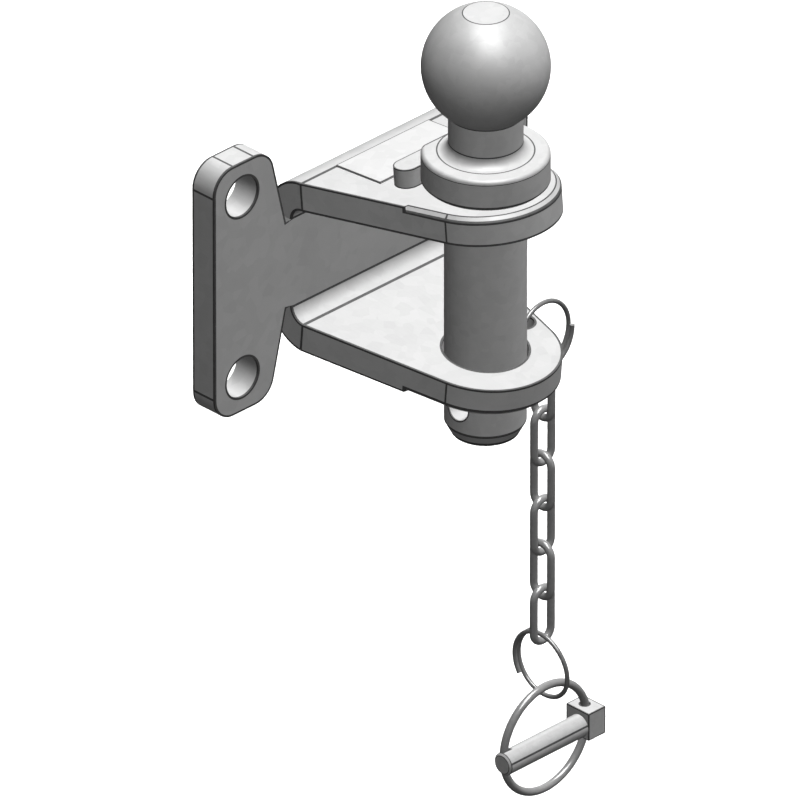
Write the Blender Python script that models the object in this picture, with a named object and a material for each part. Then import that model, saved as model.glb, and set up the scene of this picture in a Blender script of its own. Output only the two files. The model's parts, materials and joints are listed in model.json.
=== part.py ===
"""A bolt-on clevis coupling: a bent plate bracket holds a drop-in 50 mm ball pin, and the linch pin
that locks it hangs on a chain.

World frame, in metres: the origin is the centre of the flange's back face, +X is along the flange,
-Y is forward, from the flange to the nose of the jaws, and +Z is up.
"""

import math

import bmesh
import bpy
from mathutils import Matrix, Vector

# Fits
SEAT_GAP = 0.0003       # between two pieces that rest on each other
HINGE_GAP = 0.0003      # round the linch pin ring's ends, in their holes

# Bracket: one plate, cut to shape, with its middle bent forward into two jaws
PLATE_T = 0.012
FLANGE_W = 0.170
FLANGE_H = 0.110
FLANGE_CORNER_R = 0.010
BOLT_EDGE = 0.015       # from a bolt hole's axis to the flange's side, and to its top or foot
BOLT_HOLE_D = 0.017
EAR_W = 0.030           # of an ear at the flange's edge, before its corners are rounded
RELIEF_W = 0.0029       # between an ear's foot and the bend
RELIEF_DEPTH = 0.0006   # of that slot below the bend
BEND_R = 0.006
JAW_LEAN = math.radians(5.0)
JAW_W = 0.087
JAW_STRAIGHT = 0.0005   # straight run between the bend and the taper
MOUTH_H = 0.060         # between the jaws, on the pin's axis
PIN_REACH = 0.074       # from the flange's back to the pin's axis
NOSE_R = 0.0295
NOSE_CHAMFER = 0.002    # on the jaws' outer edges
CHAMFER_BACK = 0.011    # how far behind the pin's axis that chamfer starts
CHAMFER_RAMP = 0.0008

# Ball pin: one forging, turned all over
BALL_D = 0.050
BALL_FLAT_D = 0.018
BALL_RISE = 0.0502      # from the collar's foot to the ball's centre
NECK_D = 0.029
NECK_FILLET = 0.004
COLLAR_D = 0.050
COLLAR_H = 0.0133
COLLAR_TOP_R = 0.0017
COLLAR_FOOT_CHAMFER = 0.00125
COLLAR_FLAT = 0.0192    # from the axis to the flat on the collar's back
PIN_D = 0.032
PIN_BELOW = 0.0240      # how far the pin reaches below the lower jaw
PIN_TIP_LEAD = 0.0052
PIN_TIP_STEP = 0.0027
UPPER_BORE_PLAY = 0.0008
LOWER_BORE_PLAY = 0.0014
CROSS_HOLE_D = 0.011
CROSS_HOLE_DROP = 0.0081    # from the lower jaw's underside to the cross hole's axis

# Stop bar and type plate on the upper jaw
STOP_L = 0.046
STOP_W = 0.010
STOP_H = 0.008
TYPE_PLATE_L = 0.050
TYPE_PLATE_W = 0.024
TYPE_PLATE_T = 0.0008
TYPE_PLATE_BACK = 0.0015    # from the bend to the type plate's back edge

# Split rings: two turns of wire side by side
UPPER_RING_R = 0.015    # of the wire's centre line
LOWER_RING_R = 0.014
RING_WIRE_D = 0.0019
RING_TURN_GAP = 0.0002
RING_TURNS = 1.3
RING_JOG = math.radians(180.0)
UPPER_RING_JOG_AT = math.radians(127.0)
LOWER_RING_JOG_AT = math.radians(-162.0)
RING_HOLE_D = 0.0100
RING_HOLE_X = 0.0236
RING_HOLE_BACK = 0.004  # how far behind the pin's axis the hole is
RING_HANG_X = 0.0117    # from the hole's axis to the upper ring's centre
RING_HANG_Z = 0.012     # from the lower jaw's top to that centre

# Chain
LINK_COUNT = 6
LINK_WIRE_D = 0.0032
LINK_INNER_W = 0.0062
LINK_INNER_L = 0.0203
RING_IN_LINK = 0.0014   # from the centre of a link's end bow to the ring's wires in it

# Linch pin
LINCH_RING_R = 0.0228
LINCH_WIRE_D = 0.0033
LINCH_RING_HANG = 0.0031    # between the centre lines of the two rings that hang together
LINCH_RING_SIDE = 0.00165   # from the lower split ring to the linch ring's centre, along X
LINCH_STUB = 0.003      # how far the ring's ends reach into the head
LINCH_D = 0.0095
LINCH_TIP_CHAMFER = 0.0009
TIP_WALL = 0.0009       # of the tip, beyond the notch for the ring's far side
NOTCH_PLAY = 0.00055    # on the ring's inner side in that notch, for the pin to swing out
SHANK_DROP = 0.001      # from the ring's middle to the shank's axis, downwards
SHANK_FORWARD = 0.002   # from the ring's plane to the shank's axis
HEAD_X = 0.0092
HEAD_Y = 0.0123
HEAD_Z = 0.0119
HEAD_LIP = 0.0003       # from the shank to the head's front face
HINGE_IN = 0.0048       # from the head's inner face to the ring's hinge

# Facets
TURNED_SIDES = 48
HOLE_SIDES = 32
NOSE_STEPS = 14
BEND_STEPS = 8
CORNER_STEPS = 5
WIRE_SIDES_RESOLUTION = 3
RING_STEPS = 40
LINK_BOW_STEPS = 9

# What follows from the dimensions above
bend_outer_r = BEND_R + PLATE_T
lean_sin = math.sin(JAW_LEAN)
lean_cos = math.cos(JAW_LEAN)
lean_tan = math.tan(JAW_LEAN)
bend_forward = PLATE_T + BEND_R
jaw_inner_forward = bend_forward - BEND_R * lean_sin
jaw_outer_forward = bend_forward - bend_outer_r * lean_sin
bend_z = MOUTH_H / 2 - (PIN_REACH - jaw_inner_forward) * lean_tan - BEND_R * lean_cos


def jaw_outer_z(forward):
    """Height of the upper jaw's top face; the lower jaw's underside is its mirror image."""
    return bend_z + bend_outer_r * lean_cos + (forward - jaw_outer_forward) * lean_tan


def jaw_inner_z(forward):
    """Height of the upper jaw's underside; the lower jaw's top face is its mirror image."""
    return bend_z + BEND_R * lean_cos + (forward - jaw_inner_forward) * lean_tan


def at(x, forward, z):
    """A world point, from its distance in front of the flange's back."""
    return Vector((x, -forward, z))


def arc(centre, radius, start, end, steps):
    """Points of an arc, both ends included."""
    turn = (end - start) / steps
    return [
        (centre[0] + radius * math.cos(start + turn * i), centre[1] + radius * math.sin(start + turn * i))
        for i in range(steps + 1)
    ]


def clear_scene():
    for found in list(bpy.data.objects):
        bpy.data.objects.remove(found)


def new_object(name, data, location=(0, 0, 0)):
    made = bpy.data.objects.new(name, data)
    bpy.context.scene.collection.objects.link(made)
    made.location = location
    return made


def mesh_object(name, bm, location=(0, 0, 0), smooth_angle=math.radians(35)):
    bmesh.ops.remove_doubles(bm, verts=bm.verts, dist=1e-7)
    bmesh.ops.recalc_face_normals(bm, faces=bm.faces)
    mesh = bpy.data.meshes.new(name)
    bm.to_mesh(mesh)
    bm.free()
    mesh.shade_smooth()
    mesh.set_sharp_from_angle(angle=smooth_angle)
    return new_object(name, mesh, location)


def extruded(name, outline, start, end, location=(0, 0, 0)):
    """A prism: the outline lies in XY and runs along Z."""
    bm = bmesh.new()
    face = bm.faces.new([bm.verts.new((x, y, start)) for x, y in outline])
    grown = bmesh.ops.extrude_face_region(bm, geom=[face])["geom"]
    moved = [item for item in grown if isinstance(item, bmesh.types.BMVert)]
    bmesh.ops.translate(bm, verts=moved, vec=(0, 0, end - start))
    return mesh_object(name, bm, location)


def turned(name, profile, location=(0, 0, 0), sides=TURNED_SIDES):
    """A turned solid about Z, from a profile of radius and height that starts and ends on the axis."""
    bm = bmesh.new()
    rings = []
    for radius, z in profile:
        count = sides if radius > 0 else 1
        turns = [2 * math.pi * i / sides for i in range(count)]
        rings.append([bm.verts.new((radius * math.cos(t), radius * math.sin(t), z)) for t in turns])
    for low, high in zip(rings, rings[1:]):
        for i in range(sides):
            j = (i + 1) % sides
            corners = [low[i % len(low)], low[j % len(low)], high[j % len(high)], high[i % len(high)]]
            bm.faces.new(list(dict.fromkeys(corners)))
    return mesh_object(name, bm, location)


def rod(name, radius, start, end, location=(0, 0, 0)):
    """A plain round bar along Z, for use as a cutter."""
    return turned(name, [(0, start), (radius, start), (radius, end), (0, end)], location, HOLE_SIDES)


def wire(name, points, diameter, cyclic, location):
    """A round wire along points, which are counted from its location."""
    curve = bpy.data.curves.new(name, "CURVE")
    curve.dimensions = "3D"
    curve.bevel_depth = diameter / 2
    curve.bevel_resolution = WIRE_SIDES_RESOLUTION
    curve.use_fill_caps = not cyclic
    spline = curve.splines.new("POLY")
    spline.points.add(len(points) - 1)
    for point, place in zip(spline.points, points):
        point.co = (*place, 1)
    spline.use_cyclic_u = cyclic
    spline.use_smooth = True
    return new_object(name, curve, location)


def combine(target, other, operation):
    other.hide_render = True
    other.display_type = "WIRE"
    modifier = target.modifiers.new(other.name, "BOOLEAN")
    modifier.operation = operation
    modifier.solver = "EXACT"
    modifier.object = other


def finish(target, colour, roughness, metallic=1.0):
    material = bpy.data.materials.new(target.name)
    material.use_nodes = True
    shader = material.node_tree.nodes["Principled BSDF"]
    shader.inputs["Base Color"].default_value = (*colour, 1)
    shader.inputs["Roughness"].default_value = roughness
    shader.inputs["Metallic"].default_value = metallic
    target.data.materials.append(material)


def rounded_corner(before, corner, after, radius):
    """The points that round one corner of an outline."""
    corner = Vector(corner)
    into = (Vector(before) - corner).normalized()
    out = (Vector(after) - corner).normalized()
    half = into.angle(out) / 2
    centre = corner + (into + out).normalized() * radius / math.sin(half)
    start = corner + into * radius / math.tan(half) - centre
    turn = start.angle_signed(corner + out * radius / math.tan(half) - centre)
    return [
        tuple(centre + Matrix.Rotation(-turn * i / CORNER_STEPS, 2) @ start)
        for i in range(CORNER_STEPS + 1)
    ]


def flange_outline():
    """The flange with its four ears, in X and Z. The bent middle covers the rest."""
    foot_x = JAW_W / 2 + RELIEF_W
    foot_z = bend_z - RELIEF_DEPTH
    side = FLANGE_W / 2
    top = FLANGE_H / 2
    ear = [(foot_x, foot_z), (side - EAR_W, top), (side, top), (side, 0)]
    right = [ear[0]]
    right += rounded_corner(ear[0], ear[1], ear[2], FLANGE_CORNER_R)
    right += rounded_corner(ear[1], ear[2], ear[3], FLANGE_CORNER_R)
    right += [(x, -z) for x, z in reversed(right)]
    return right + [(-x, z) for x, z in reversed(right)]


def jaw_plan():
    """Rows of the jaw from the bend to the nose: distance along the jaw and half width, of its edge and
    of the rim of its outer face."""
    middle_forward = bend_forward - (BEND_R + PLATE_T / 2) * lean_sin
    pin_at = (PIN_REACH - middle_forward) / lean_cos
    half = JAW_W / 2
    run = pin_at - JAW_STRAIGHT
    taper = math.atan2(half, run) - math.asin(NOSE_R / math.hypot(half, run))
    chamfer_at = pin_at - CHAMFER_BACK
    chamfer_half = half - (chamfer_at - JAW_STRAIGHT) * math.tan(taper)
    ramp_half = chamfer_half - CHAMFER_RAMP * math.tan(taper)
    rows = [
        (0, half, 0, half),
        (JAW_STRAIGHT, half, JAW_STRAIGHT, half),
        (chamfer_at, chamfer_half, chamfer_at, chamfer_half),
        (
            chamfer_at + CHAMFER_RAMP,
            ramp_half,
            chamfer_at + CHAMFER_RAMP - NOSE_CHAMFER * math.sin(taper),
            ramp_half - NOSE_CHAMFER * math.cos(taper),
        ),
    ]
    edge = arc((pin_at, 0), NOSE_R, math.pi / 2 - taper, 0, NOSE_STEPS)
    rim = arc((pin_at, 0), NOSE_R - NOSE_CHAMFER, math.pi / 2 - taper, 0, NOSE_STEPS)
    rows += [(*edge_point, *rim_point) for edge_point, rim_point in zip(edge, rim)]
    return rows


def jaw_rows(side):
    """Cross-sections of a jaw, each as three pairs of points: the outer face's rim, the chamfer's foot
    and the inner face. side is 1 for the upper jaw and -1 for the lower one."""
    along = (lean_cos, lean_sin)
    rows = []
    for edge_at, edge_half, rim_at, rim_half in jaw_plan():
        levels = ((bend_outer_r, rim_at, rim_half), (bend_outer_r - NOSE_CHAMFER, edge_at, edge_half),
                  (BEND_R, edge_at, edge_half))
        row = []
        for radius, distance, half in levels:
            forward = bend_forward - radius * lean_sin + distance * along[0]
            z = bend_z + radius * lean_cos + distance * along[1]
            row += [at(-half, forward, side * z), at(half, forward, side * z)]
        rows.append(row)
    return rows


def bend_rows(side):
    """Cross-sections of a bend, from the flange to where its jaw starts."""
    half = JAW_W / 2
    rows = []
    for step in range(BEND_STEPS):
        turn = (math.pi / 2 - JAW_LEAN) * step / BEND_STEPS
        row = []
        for radius in (bend_outer_r, bend_outer_r - NOSE_CHAMFER, BEND_R):
            forward = bend_forward - radius * math.cos(turn)
            z = bend_z + radius * math.sin(turn)
            row += [at(-half, forward, side * z), at(half, forward, side * z)]
        rows.append(row)
    return rows


def make_bracket():
    upper = bend_rows(1) + jaw_rows(1)
    lower = bend_rows(-1) + jaw_rows(-1)
    bm = bmesh.new()
    rows = [[bm.verts.new(point) for point in row] for row in upper[::-1] + lower]
    rings = ((0, 1), (1, 3), (3, 5), (5, 4), (4, 2), (2, 0))
    for row, after in zip(rows, rows[1:]):
        for a, b in rings:
            bm.faces.new((row[a], row[b], after[b], after[a]))
    bracket = mesh_object("bracket", bm)

    flange = extruded("flange_blank", flange_outline(), 0, PLATE_T)
    flange.rotation_euler = (math.pi / 2, 0, 0)
    combine(bracket, flange, "UNION")

    bolt_x = FLANGE_W / 2 - BOLT_EDGE
    bolt_z = FLANGE_H / 2 - BOLT_EDGE
    for x in (-bolt_x, bolt_x):
        for z in (-bolt_z, bolt_z):
            cutter = rod("bolt_hole_cutter", BOLT_HOLE_D / 2, -PLATE_T, 2 * PLATE_T, (x, 0, z))
            cutter.rotation_euler = (math.pi / 2, 0, 0)
            combine(bracket, cutter, "DIFFERENCE")

    for play, side in ((UPPER_BORE_PLAY, 1), (LOWER_BORE_PLAY, -1)):
        height = side * jaw_inner_z(PIN_REACH)
        ends = sorted((height - side * PLATE_T, height + side * 2 * PLATE_T))
        cutter = turned(
            "bore_cutter",
            [(0, ends[0]), ((PIN_D + play) / 2, ends[0]), ((PIN_D + play) / 2, ends[1]), (0, ends[1])],
            at(0, PIN_REACH, 0),
        )
        combine(bracket, cutter, "DIFFERENCE")

    hole = at(RING_HOLE_X, PIN_REACH - RING_HOLE_BACK, -jaw_inner_z(PIN_REACH - RING_HOLE_BACK))
    combine(bracket, rod("ring_hole_cutter", RING_HOLE_D / 2, -2 * PLATE_T, PLATE_T, hole), "DIFFERENCE")
    finish(bracket, (0.30, 0.30, 0.31), 0.45)


def make_ball_pin():
    foot = jaw_outer_z(PIN_REACH + COLLAR_D / 2 - COLLAR_FOOT_CHAMFER) + SEAT_GAP
    collar_top = foot + COLLAR_H
    ball_z = foot + BALL_RISE
    ball_r = BALL_D / 2
    neck_r = NECK_D / 2
    pin_r = PIN_D / 2
    collar_r = COLLAR_D / 2
    tip = -jaw_outer_z(PIN_REACH) - PIN_BELOW
    neck_turn = -math.acos(neck_r / ball_r)
    flat_turn = math.acos(BALL_FLAT_D / BALL_D)
    profile = [
        (0, tip),
        (pin_r - PIN_TIP_STEP, tip),
        (pin_r, tip + PIN_TIP_LEAD),
        (pin_r, foot),
        (collar_r - COLLAR_FOOT_CHAMFER, foot),
        (collar_r, foot + COLLAR_FOOT_CHAMFER),
    ]
    rim_centre = (collar_r - COLLAR_TOP_R, collar_top - COLLAR_TOP_R)
    profile += arc(rim_centre, COLLAR_TOP_R, 0, math.pi / 2, CORNER_STEPS)
    fillet_centre = (neck_r + NECK_FILLET, collar_top + NECK_FILLET)
    profile += arc(fillet_centre, NECK_FILLET, -math.pi / 2, -math.pi, CORNER_STEPS)
    profile += arc((0, ball_z), ball_r, neck_turn, flat_turn, NOSE_STEPS)
    profile.append((0, profile[-1][1]))
    ball_pin = turned("ball_pin", profile, at(0, PIN_REACH, 0))

    side = COLLAR_D
    flat = [(-side, COLLAR_FLAT), (side, COLLAR_FLAT), (side, 2 * side), (-side, 2 * side)]
    cutter = extruded("collar_flat_cutter", flat, foot - PIN_D, collar_top + NECK_FILLET / 2,
                      at(0, PIN_REACH, 0))
    combine(ball_pin, cutter, "DIFFERENCE")

    hole_z = -jaw_outer_z(PIN_REACH) - CROSS_HOLE_DROP
    cutter = rod("cross_hole_cutter", CROSS_HOLE_D / 2, -PIN_D, PIN_D, at(0, PIN_REACH, hole_z))
    cutter.rotation_euler = (0, math.pi / 2, 0)
    combine(ball_pin, cutter, "DIFFERENCE")
    finish(ball_pin, (0.42, 0.42, 0.43), 0.3)


def on_upper_jaw(forward):
    """A place on the upper jaw's top face, a seat gap above it."""
    return at(0, forward, jaw_outer_z(forward)) + Vector((0, lean_sin, lean_cos)) * SEAT_GAP


def make_stop_bar():
    half = STOP_L / 2 - STOP_W / 2
    outline = arc((half, 0), STOP_W / 2, -math.pi / 2, math.pi / 2, 2 * CORNER_STEPS)
    outline += arc((-half, 0), STOP_W / 2, math.pi / 2, 3 * math.pi / 2, 2 * CORNER_STEPS)
    forward = PIN_REACH - COLLAR_FLAT - SEAT_GAP - STOP_W / 2
    stop_bar = extruded("stop_bar", outline, 0, STOP_H, on_upper_jaw(forward))
    stop_bar.rotation_euler = (-JAW_LEAN, 0, 0)
    finish(stop_bar, (0.45, 0.45, 0.46), 0.4)


def make_type_plate():
    half = TYPE_PLATE_L / 2
    outline = [(-half, 0), (-half, -TYPE_PLATE_W), (half, -TYPE_PLATE_W), (half, 0)]
    place = on_upper_jaw(jaw_outer_forward + TYPE_PLATE_BACK)
    type_plate = extruded("type_plate", outline, 0, TYPE_PLATE_T, place)
    type_plate.rotation_euler = (-JAW_LEAN, 0, 0)
    finish(type_plate, (0.62, 0.62, 0.63), 0.35)


def split_ring_points(plane, centre, radius, jog_at):
    """A turn and a bit more, whose ends lie side by side, with a slow step across between them. plane
    holds the ring's two directions, and its ends lie beside each other along their cross product."""
    side = plane[0].cross(plane[1])
    half_offset = (RING_WIRE_D + RING_TURN_GAP) / 2
    steps = round(RING_STEPS * RING_TURNS)
    points = []
    for i in range(steps + 1):
        past_jog = (i / steps - 0.5) * RING_TURNS * 2 * math.pi
        share = min(max(past_jog / RING_JOG + 0.5, 0), 1)
        offset = half_offset * (2 * share * share * (3 - 2 * share) - 1)
        turn = jog_at + past_jog
        points.append(centre + radius * (math.cos(turn) * plane[0] + math.sin(turn) * plane[1]) + offset * side)
    return points


def link_points(across, top):
    """A link's centre line, with its upper end's highest point at top and its bows spread along across."""
    bow_r = (LINK_INNER_W + LINK_WIRE_D) / 2
    low = -(LINK_INNER_L + LINK_WIRE_D) + bow_r
    outline = arc((0, -bow_r), bow_r, 0, math.pi, LINK_BOW_STEPS)
    outline += arc((0, low), bow_r, math.pi, 2 * math.pi, LINK_BOW_STEPS)
    return [top + x * across + z * Vector((0, 0, 1)) for x, z in outline]


def make_chain():
    """The upper split ring, the links and the lower split ring. Each hangs on the wire of the one
    above, with its origin on that wire. Returns where the linch pin's ring hangs."""
    right = Vector((1, 0, 0))
    forward = Vector((0, -1, 0))
    up = Vector((0, 0, 1))
    bow_r = (LINK_INNER_W + LINK_WIRE_D) / 2
    zinc = (0.50, 0.50, 0.51)

    hole_forward = PIN_REACH - RING_HOLE_BACK
    hole = at(RING_HOLE_X, hole_forward, -jaw_inner_z(hole_forward))
    to_centre = RING_HANG_X * right - RING_HANG_Z * up
    points = split_ring_points((right, up), to_centre, UPPER_RING_R, UPPER_RING_JOG_AT)
    ring = wire("upper_split_ring", points, RING_WIRE_D, False, hole)
    finish(ring, zinc, 0.3)

    hinge = hole + to_centre - UPPER_RING_R * up
    top = (bow_r - RING_IN_LINK) * up
    for number in range(1, LINK_COUNT + 1):
        across = forward if number % 2 else right
        link = wire(f"chain_link_{number}", link_points(across, top), LINK_WIRE_D, True, hinge)
        finish(link, zinc, 0.3)
        hinge = hinge + top - (LINK_INNER_L + LINK_WIRE_D) * up
        top = (LINK_WIRE_D + SEAT_GAP) * up

    to_wire = (bow_r - RING_IN_LINK) * up
    to_centre = to_wire - LOWER_RING_R * up
    points = split_ring_points((-forward, up), to_centre, LOWER_RING_R, LOWER_RING_JOG_AT)
    ring = wire("lower_split_ring", points, RING_WIRE_D, False, hinge)
    finish(ring, zinc, 0.3)
    return hinge + to_centre - LOWER_RING_R * up


def make_linch_pin(hang):
    """The linch pin, hung by its ring, which is hinged in the pin's head and lies in a notch behind its
    tip."""
    stub_turn = math.asin((HEAD_Z / 2 + LINCH_WIRE_D / 4) / LINCH_RING_R)
    reach = LINCH_RING_R * math.cos(stub_turn)
    centre_z = LINCH_RING_HANG - math.sqrt(LINCH_RING_R**2 - LINCH_RING_SIDE**2)
    outline = [(reach, HEAD_Z / 2 - LINCH_STUB)]
    outline += arc((0, 0), LINCH_RING_R, stub_turn, 2 * math.pi - stub_turn, RING_STEPS)
    outline += [(reach, LINCH_STUB - HEAD_Z / 2)]
    points = [Vector((x + LINCH_RING_SIDE, 0, z + centre_z)) for x, z in outline]
    linch_ring = wire("linch_ring", points, LINCH_WIRE_D, False, hang)
    finish(linch_ring, (0.50, 0.50, 0.51), 0.3)

    pivot = hang + Vector((reach + LINCH_RING_SIDE, 0, centre_z))
    shank_r = LINCH_D / 2
    tip_r = shank_r - LINCH_TIP_CHAMFER
    wire_r = LINCH_WIRE_D / 2
    notch_out = -reach - LINCH_RING_R - wire_r - SEAT_GAP
    notch_in = NOTCH_PLAY - reach - math.sqrt((LINCH_RING_R - wire_r) ** 2 - (shank_r + SHANK_DROP) ** 2)
    tip = notch_out - TIP_WALL
    shank_end = HEAD_X / 3 - HINGE_IN
    profile = [(0, tip), (tip_r, tip), (shank_r, tip + LINCH_TIP_CHAMFER), (shank_r, shank_end), (0, shank_end)]
    linch_pin = turned("linch_pin", profile, pivot)
    along_x = Matrix.Rotation(math.pi / 2, 4, "Y")
    linch_pin.data.transform(Matrix.Translation((0, -SHANK_FORWARD, -SHANK_DROP)) @ along_x)

    left, front = -HINGE_IN, -SHANK_FORWARD - shank_r - HEAD_LIP
    right, back = left + HEAD_X, front + HEAD_Y
    outline = [(left, front), (right, front), (right, back), (left, back)]
    combine(linch_pin, extruded("linch_head_blank", outline, -HEAD_Z / 2, HEAD_Z / 2, pivot), "UNION")
    bore = rod("linch_hinge_cutter", wire_r + HINGE_GAP, -HEAD_Z, HEAD_Z, pivot)
    combine(linch_pin, bore, "DIFFERENCE")
    seat = -wire_r - SEAT_GAP
    outline = [(notch_out, seat), (notch_in, seat), (notch_in, LINCH_D), (notch_out, LINCH_D)]
    combine(linch_pin, extruded("linch_notch_cutter", outline, -HEAD_Z, HEAD_Z, pivot), "DIFFERENCE")
    finish(linch_pin, (0.48, 0.48, 0.49), 0.3)


clear_scene()
make_bracket()
make_ball_pin()
make_stop_bar()
make_type_plate()
make_linch_pin(make_chain())
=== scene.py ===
import json
import math

import bmesh
import bpy
from mathutils import Matrix, Vector

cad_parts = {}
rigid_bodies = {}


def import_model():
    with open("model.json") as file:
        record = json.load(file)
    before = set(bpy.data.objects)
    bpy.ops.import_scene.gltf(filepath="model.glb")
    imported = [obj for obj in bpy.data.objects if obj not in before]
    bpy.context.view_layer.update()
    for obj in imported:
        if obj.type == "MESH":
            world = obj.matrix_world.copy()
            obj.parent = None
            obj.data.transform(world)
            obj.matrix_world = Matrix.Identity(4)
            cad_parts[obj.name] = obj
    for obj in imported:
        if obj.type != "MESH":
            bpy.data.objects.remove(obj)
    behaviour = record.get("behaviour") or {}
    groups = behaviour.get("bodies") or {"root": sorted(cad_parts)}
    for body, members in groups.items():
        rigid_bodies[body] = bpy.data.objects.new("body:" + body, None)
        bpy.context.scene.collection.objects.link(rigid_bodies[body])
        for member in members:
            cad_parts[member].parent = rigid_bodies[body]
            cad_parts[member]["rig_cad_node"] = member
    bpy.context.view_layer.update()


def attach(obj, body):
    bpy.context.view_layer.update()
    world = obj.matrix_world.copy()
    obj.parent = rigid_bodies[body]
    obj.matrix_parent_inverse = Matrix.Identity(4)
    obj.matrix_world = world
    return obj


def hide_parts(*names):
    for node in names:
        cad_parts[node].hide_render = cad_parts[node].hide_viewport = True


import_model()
for name in ("Cube", "Light", "Camera"):
    spare = bpy.data.objects.get(name)
    if spare and "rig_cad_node" not in spare:
        bpy.data.objects.remove(spare)


# Shader maths: a socket that takes operators, and a bench that adds nodes

class Value:
    def __init__(self, bench, socket):
        self.bench = bench
        self.socket = socket

    def math(self, operation, other, swapped=False):
        pair = (other, self) if swapped else (self, other)
        return self.bench.node("ShaderNodeMath", {"operation": operation}, {0: pair[0], 1: pair[1]})

    def __add__(self, other):
        return self.math("ADD", other)

    def __sub__(self, other):
        return self.math("SUBTRACT", other)

    def __rsub__(self, other):
        return self.math("SUBTRACT", other, True)

    def __mul__(self, other):
        return self.math("MULTIPLY", other)

    def __pow__(self, other):
        return self.math("POWER", other)

    __radd__ = __add__
    __rmul__ = __mul__


class Bench:
    def __init__(self, tree):
        self.tree = tree

    def node(self, kind, settings=None, inputs=None, output=0):
        made = self.tree.nodes.new(kind)
        for key, value in (settings or {}).items():
            if key == "stops":
                ramp = made.color_ramp.elements
                while len(ramp) < len(value):
                    ramp.new(0.5)
                for stop, (position, colour) in zip(ramp, value):
                    stop.position = position
                    stop.color = colour
            else:
                setattr(made, key, value)
        for key, value in (inputs or {}).items():
            self.feed(made.inputs[key], value)
        return Value(self, made.outputs[output])

    def feed(self, socket, value):
        if isinstance(value, Value):
            self.tree.links.new(value.socket, socket)
        else:
            socket.default_value = value


def grey(level, warmth=0.0):
    return (level * (1 + warmth), level, level * (1 - warmth), 1.0)


def newFinish(name):
    material = bpy.data.materials.new(name)
    material.use_nodes = True
    bench = Bench(material.node_tree)
    return material, bench, material.node_tree.nodes["Principled BSDF"]


def stretched(bench, scale):
    place = bench.node("ShaderNodeTexCoord", output="Object")
    return bench.node("ShaderNodeMapping", None, {"Vector": place, "Scale": scale})


def noise(bench, scale, detail=3.0, roughness=0.55, vector=None):
    vector = vector or bench.node("ShaderNodeTexCoord", output="Object")
    return bench.node("ShaderNodeTexNoise", None, {
        "Vector": vector, "Scale": scale, "Detail": detail, "Roughness": roughness})


def toneMix(bench, share, dark, light):
    return bench.node("ShaderNodeMix", {"data_type": "RGBA"}, {0: share, 6: dark, 7: light}, 2)


# The plated steels: cloudy tone, a grain that runs along one direction, fine pits, and satin patches
def platedFinish(name, look):
    material, bench, shader = newFinish(name)
    clouds = noise(bench, look["cloudScale"], 4.0)
    grain = noise(bench, 1.0, 2.0, 0.5, stretched(bench, look["grainScale"]))
    pits = noise(bench, look["pitScale"], 2.0, 0.6)
    flakes = bench.node("ShaderNodeTexVoronoi", None, {
        "Vector": bench.node("ShaderNodeTexCoord", output="Object"), "Scale": look["flakeScale"]}, "Color")
    flake = bench.node("ShaderNodeSeparateColor", None, {0: flakes})
    share = clouds * 0.5 + grain * 0.25 + flake * 0.25
    bench.feed(shader.inputs["Base Color"], toneMix(bench, share, look["dark"], look["light"]))
    bench.feed(shader.inputs["Roughness"], clouds * look["roughSpread"] + grain * look["roughSpread"]
               + (look["rough"] - look["roughSpread"]))
    shader.inputs["Metallic"].default_value = look["metallic"]
    shader.inputs["Specular IOR Level"].default_value = look.get("specular", 0.5)
    if look["coat"]:
        facing = bench.node("ShaderNodeLayerWeight", output="Facing")
        bench.feed(shader.inputs["Coat Weight"], (1.0 - facing) ** look["coatFade"] * look["coat"])
    shader.inputs["Coat Roughness"].default_value = look["coatRough"]
    shader.inputs["Coat IOR"].default_value = look.get("coatIor", 1.5)
    relief = bench.node("ShaderNodeBump", None, {
        "Strength": look["bump"], "Distance": look["relief"], "Height": pits * 0.6 + grain * 0.4})
    bench.feed(shader.inputs["Normal"], relief)
    return material


bracketLook = {
    "dark": grey(0.31), "light": grey(0.43), "metallic": 0.25, "rough": 0.50, "roughSpread": 0.06,
    "cloudScale": 38.0, "grainScale": (1500, 160, 1500), "pitScale": 1700.0, "flakeScale": 210.0,
    "bump": 0.35, "relief": 0.00005, "coat": 0.0, "coatRough": 0.3,
}
turnedLook = {
    "dark": grey(0.31), "light": grey(0.43), "metallic": 0.25, "rough": 0.50, "roughSpread": 0.06,
    "cloudScale": 55.0, "grainScale": (60, 60, 4200), "pitScale": 2600.0, "flakeScale": 320.0,
    "bump": 0.35, "relief": 0.00004, "coat": 0.0, "coatRough": 0.3,
}
barLook = dict(bracketLook, grainScale=(160, 1700, 1700), flakeScale=380.0)
typePlateLook = dict(bracketLook, dark=grey(0.34), light=grey(0.46), metallic=0.30, rough=0.42,
                     grainScale=(60, 3600, 3600), relief=0.00003)
# wire: a dark base tone that is painted shade, standing in for the dark outlines along a round wire; the coat, faded
# towards grazing angles, gives the bright core
wireLook = {
    "specular": 0.1,
    "dark": grey(0.15), "light": grey(0.225), "metallic": 0.05, "rough": 0.44, "roughSpread": 0.07,
    "cloudScale": 160.0, "grainScale": (2600, 2600, 320), "pitScale": 3200.0, "flakeScale": 700.0,
    "bump": 0.4, "relief": 0.00003, "coat": 1.0, "coatRough": 0.18, "coatFade": 2.0, "coatIor": 2.1,
}
# split rings: the wire tone darkened further, more painted shade along the wire
shadeDarkRingLook = dict(wireLook, dark=grey(0.10), light=grey(0.16))
linchLook = dict(wireLook, dark=grey(0.26), light=grey(0.36), grainScale=(420, 3000, 3000))
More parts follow.
